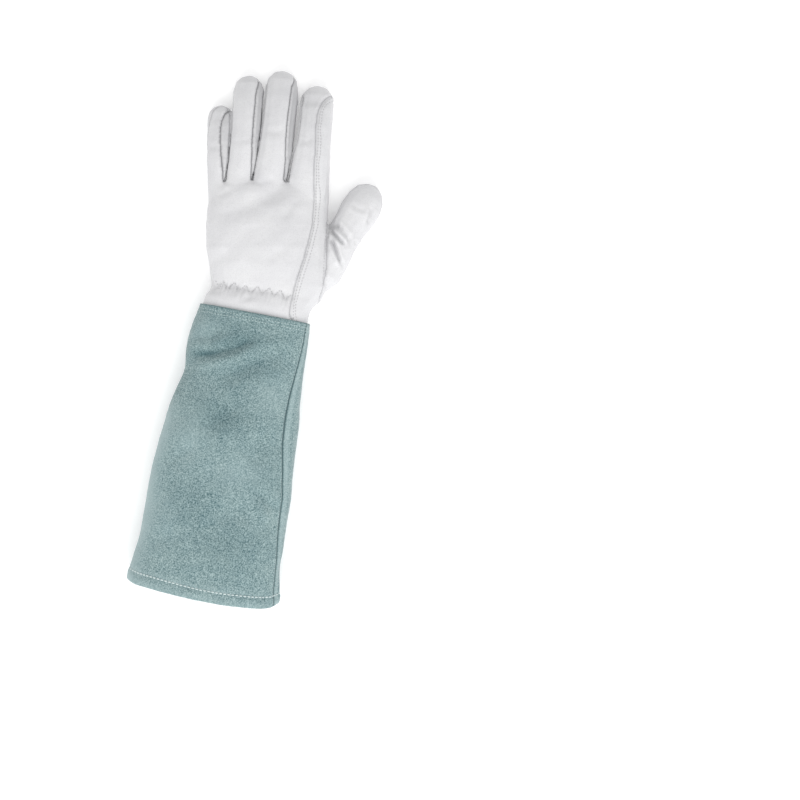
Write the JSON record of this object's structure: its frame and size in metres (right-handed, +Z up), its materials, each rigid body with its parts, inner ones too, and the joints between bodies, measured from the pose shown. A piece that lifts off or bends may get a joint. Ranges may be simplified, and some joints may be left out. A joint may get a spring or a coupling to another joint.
{
  "type": "rose pruning gauntlet",
  "caption": "Left-hand leather work glove with a long split-leather forearm cuff, lying palm down, open at the hem, with hollow fingers and a hollow thumb.",
  "frame": {"origin": "on the floor below the middle of the glove's bounding box", "axes": "+Y from the hem towards the fingertips, +Z up out of the back of the hand, +X towards the thumb"},
  "size_m": [0.2004, 0.4182, 0.0519],
  "materials": {
    "hide": "smooth grain leather, matt",
    "suede": "napped split leather, dusty teal"
  },
  "bodies": {
    "root": {"back_panel": "hide", "palm_panel": "hide", "thumb_back": "hide", "thumb_front": "hide", "fourchette_little_ring": "hide", "fourchette_ring_middle": "hide", "fourchette_middle_index": "hide", "cuff": "suede"}
  },
  "joints": []
}
